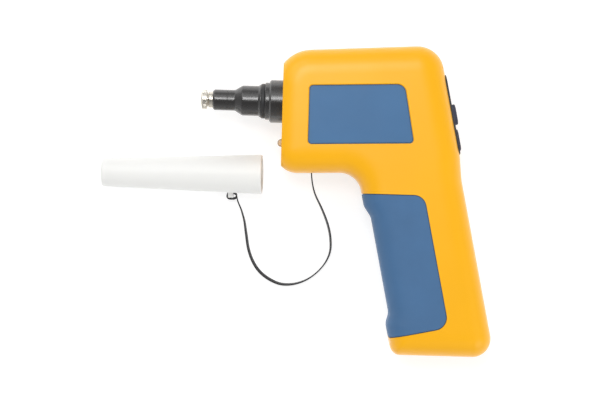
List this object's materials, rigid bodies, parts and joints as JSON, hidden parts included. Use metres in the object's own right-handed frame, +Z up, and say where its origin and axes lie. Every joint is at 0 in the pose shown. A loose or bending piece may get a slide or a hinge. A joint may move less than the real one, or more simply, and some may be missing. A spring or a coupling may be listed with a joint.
{
  "type": "fibre inspection camera",
  "caption": "Handheld camera for fibre end faces: pistol-shaped housing with grip pads and rear keys, stepped nose with a metal tip for a ferrule, and a tapered cap on a strap.",
  "frame": {"origin": "middle of the table under the camera and its cap, with the strap left out", "axes": "the camera lies on its right side: -X along the nose's viewing direction, +Y towards the top of the head, +Z up from the table across the two halves"},
  "size_m": [0.2166, 0.1687, 0.036],
  "materials": {
    "yellow_plastic": "satin moulded",
    "blue_label": "smooth satin film",
    "blue_rubber": "fine matt moulded",
    "black_plastic": "fine matt moulded",
    "key_plastic": "soft satin",
    "black_anodised": "black anodised, turned",
    "black_rubber": "smooth",
    "nickel": "bright nickel, turned",
    "white_ceramic": "polished",
    "brass": "machined",
    "clear_glass": "polished",
    "clear_lens": "polished clear plastic",
    "circuit_board": "solder mask",
    "steel": "turned",
    "battery_can": "black film over a metal can",
    "white_plastic": "smooth moulded"
  },
  "bodies": {
    "camera": {"left_housing": "yellow_plastic", "right_housing": "yellow_plastic", "left_label_panel": "blue_label", "right_label_panel": "blue_label", "left_grip_pad": "blue_rubber", "right_grip_pad": "blue_rubber", "keypad_bezel": "black_plastic", "nose_barrel": "black_anodised", "nose_collar": "black_anodised", "cap_seal_ring": "black_rubber", "front_sleeve": "black_anodised", "tip_body": "nickel", "ferrule_sleeve": "white_ceramic", "objective_cell": "brass", "objective_lenses": "clear_glass", "port_light_lens": "clear_lens", "port_light_board": "circuit_board", "optical_chassis": "black_anodised", "beam_splitter": "clear_glass", "illumination_board": "circuit_board", "tube_lens": "clear_glass", "guide_rods": "steel", "focus_motor": "steel", "main_board": "circuit_board", "key_board": "circuit_board", "battery_pack": "battery_can", "battery_cradle": "black_plastic", "usb_board": "circuit_board", "usb_connector": "steel", "housing_screws": "steel", "tether_anchor": "black_plastic", "tether_strap": "black_rubber", "tether_loop": "black_rubber"},
    "capture_key": {"capture_button": "key_plastic"},
    "light_key": {"light_button": "key_plastic"},
    "ring_nut": {"tip_nut": "nickel"},
    "focus_screw": {"lead_screw": "steel"},
    "carriage": {"focus_carriage": "brass", "camera_board": "circuit_board", "image_sensor": "black_plastic"},
    "cap_body": {"cap": "white_plastic"}
  },
  "joints": [
    {"name": "capture_press", "type": "slide", "parent": "camera", "child": "capture_key", "axis": [-0.9778, -0.2096, 0], "range_m": [0, 0.0008], "stiffness_N_per_m": 1500},
    {"name": "light_press", "type": "slide", "parent": "camera", "child": "light_key", "axis": [-0.9778, -0.2096, 0], "range_m": [0, 0.0008], "stiffness_N_per_m": 1500},
    {"name": "nut_turn", "type": "hinge", "parent": "camera", "child": "ring_nut", "pos_m": [-0.05181, 0.0525, 0.018], "axis": [-1, 0, 0], "continuous": true},
    {"name": "focus_turn", "type": "hinge", "parent": "camera", "child": "focus_screw", "pos_m": [0.03719, 0.0525, 0.026], "axis": [1, 0, 0], "range_deg": [-1080, 1080]},
    {"name": "focus_slide", "type": "slide", "parent": "camera", "child": "carriage", "axis": [1, 0, 0], "range_m": [-0.0015, 0.0015]},
    {"name": "cap_lift", "type": "hinge", "parent": "camera", "child": "cap_body", "pos_m": [-0.03657, 0.00169, 0.00505], "axis": [0.9993, 0.014, 0.0349], "range_deg": [0, 60]}
  ],
  "couplings": [
    {"joint": "focus_turn", "follows": "focus_slide", "rad_per_m": 12566}
  ]
}
